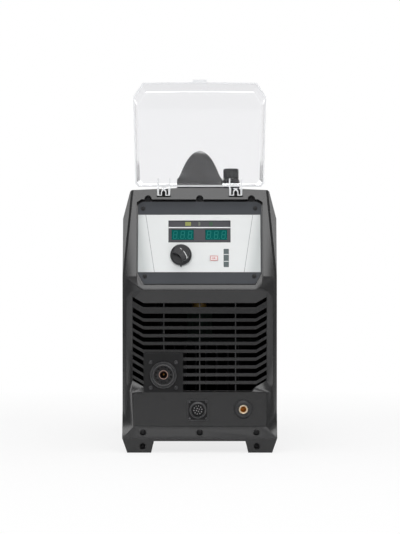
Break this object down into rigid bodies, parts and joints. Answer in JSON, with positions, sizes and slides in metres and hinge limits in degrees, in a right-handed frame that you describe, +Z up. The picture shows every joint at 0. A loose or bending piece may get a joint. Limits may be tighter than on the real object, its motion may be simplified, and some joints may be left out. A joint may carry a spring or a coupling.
{
  "type": "plasma cutter unit",
  "caption": "Inverter plasma cutter unit: sheet case between moulded bezels, clear hinged cover over the control panel, torch and work sockets, top handle, rear air regulator.",
  "frame": {"origin": "on the floor under the middle of the whole machine", "axes": "+Z up, the front with its control panel looks along -Y, +X to the right when facing the front"},
  "size_m": [0.258, 0.6722, 0.6294],
  "materials": {
    "bezel_plastic": "moulded, fine grain",
    "cover_paint": "powder coat",
    "steel_sheet": "powder coat",
    "tray_steel": "zinc plate",
    "panel_foil": "satin film",
    "display_teal": "tinted window",
    "dark_window": "tinted film",
    "button_foil": "satin",
    "knob_plastic": "moulded",
    "clear_plastic": "clear polycarbonate",
    "black_nylon": "moulded",
    "brass": "turned",
    "copper": "turned copper",
    "steel": "plated",
    "cast_alloy": "die cast",
    "smoke_bowl": "clear polycarbonate",
    "gauge_white": "printed dial",
    "hose_blue": "polyurethane",
    "board_green": "solder mask",
    "heat_sink": "extruded",
    "core_grey": "sintered",
    "winding_tape": "tape",
    "red_plastic": "moulded"
  },
  "bodies": {
    "case": {"air_hose": "hose_blue", "air_inlet_fitting": "brass", "air_outlet_elbow": "brass", "air_port": "brass", "air_valve": "brass", "base_tray": "tray_steel", "cable_gland": "black_nylon", "capacitor_left": "core_grey", "capacitor_right": "core_grey", "cnc_socket_insert": "black_nylon", "cnc_socket_shell": "black_nylon", "control_board": "board_green", "control_panel": "dark_window", "cover": "cover_paint", "display_frame": "dark_window", "display_left": "display_teal", "display_right": "display_teal", "earth_stud": "brass", "encoder_body": "tray_steel", "fan_frame": "black_nylon", "fan_guard": "steel", "filter_bowl": "smoke_bowl", "filter_choke": "winding_tape", "front_bezel": "bezel_plastic", "gauge_case": "knob_plastic", "gauge_dial": "gauge_white", "gauge_lens": "clear_plastic", "gland_nut": "black_nylon", "handle": "bezel_plastic", "heat_sink": "heat_sink", "hinge_pin_left": "steel", "hinge_pin_right": "steel", "indicator_window": "dark_window", "mains_switch_body": "knob_plastic", "mode_window": "dark_window", "panel_foil": "panel_foil", "power_board": "board_green", "rear_bezel": "bezel_plastic", "rear_panel": "steel_sheet", "regulator_body": "cast_alloy", "regulator_bonnet": "bezel_plastic", "regulator_bracket": "steel", "torch_hose": "hose_blue", "torch_socket_contact": "copper", "torch_socket_flange": "black_nylon", "torch_socket_insulator": "black_nylon", "transformer_core": "core_grey", "transformer_winding": "winding_tape", "work_socket_collar": "black_nylon", "work_socket_contact": "brass"},
    "panel_cover": {"panel_cover": "clear_plastic"},
    "control_knob": {"control_knob": "knob_plastic", "encoder_shaft": "steel"},
    "mode_button": {"mode_button": "button_foil"},
    "fan_rotor": {"fan_rotor": "knob_plastic"},
    "mains_switch_knob": {"mains_switch_knob": "red_plastic"},
    "regulator_screw": {"regulator_screw": "steel"},
    "regulator_knob": {"regulator_knob": "knob_plastic"},
    "gauge_needle": {"gauge_needle": "red_plastic"},
    "drain_button": {"drain_button": "red_plastic"}
  },
  "joints": [
    {"name": "cover_hinge", "type": "hinge", "parent": "case", "child": "panel_cover", "pos_m": [0, -0.28373, 0.4365], "axis": [1, 0, 0], "range_deg": [0, 180]},
    {"name": "knob_turn", "type": "hinge", "parent": "case", "child": "control_knob", "pos_m": [-0.0314, -0.31487, 0.33024], "axis": [0, -0.9703, 0.2419], "continuous": true},
    {"name": "button_press", "type": "slide", "parent": "case", "child": "mode_button", "axis": [0, 0.9703, -0.2419], "range_m": [0, 0.001], "stiffness_N_per_m": 800, "springref_m": -0.0006},
    {"name": "fan_spin", "type": "hinge", "parent": "case", "child": "fan_rotor", "pos_m": [0, 0.22855, 0.15], "axis": [0, 1, 0], "continuous": true},
    {"name": "mains_switch_turn", "type": "hinge", "parent": "case", "child": "mains_switch_knob", "pos_m": [-0.06, 0.25985, 0.34], "axis": [0, -1, 0], "range_deg": [0, 90]},
    {"name": "regulator_turn", "type": "hinge", "parent": "case", "child": "regulator_screw", "pos_m": [0.0612, 0.29185, 0.4816], "axis": [0, 0, 1], "continuous": true},
    {"name": "regulator_knob_pull", "type": "slide", "parent": "regulator_screw", "child": "regulator_knob", "axis": [0, 0, 1], "range_m": [0, 0.003]},
    {"name": "gauge_needle_sweep", "type": "hinge", "parent": "case", "child": "gauge_needle", "pos_m": [0.0612, 0.31215, 0.435], "axis": [0, -1, 0], "range_deg": [0, 270], "stiffness_Nm_per_rad": 0.00002, "springref_deg": -17.19},
    {"name": "drain_push", "type": "slide", "parent": "case", "child": "drain_button", "axis": [0, 0, 1], "range_m": [0, 0.0025], "stiffness_N_per_m": 300, "springref_m": -0.002}
  ]
}
